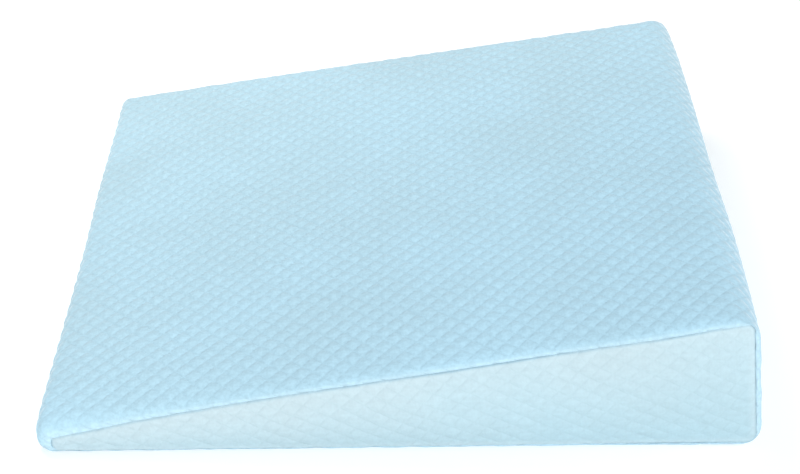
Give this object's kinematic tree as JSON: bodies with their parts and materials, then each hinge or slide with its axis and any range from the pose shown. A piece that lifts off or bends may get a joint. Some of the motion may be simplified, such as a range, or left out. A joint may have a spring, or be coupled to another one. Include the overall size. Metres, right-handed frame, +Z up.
{
  "type": "wedge pillow",
  "caption": "Filled foam wedge in a puffed diamond knit wrap, with a triangular side panel sewn into each side. It rests on its flat base and slopes up to a thick end.",
  "frame": {"origin": "middle of the bounding box at its bottom, on the surface that the pillow rests on", "axes": "+X towards the thick end, +Y across the width, +Z up from the flat base"},
  "size_m": [0.6018, 0.6176, 0.1225],
  "materials": {
    "wrap_knit": "matt air-layer knit with puffed diamonds",
    "side_knit": "matt air-layer knit with fainter puffed diamonds, stretched over the side"
  },
  "bodies": {
    "root": {"filled_body": "wrap_knit", "side_panel_near": "side_knit", "side_panel_far": "side_knit"}
  },
  "joints": []
}
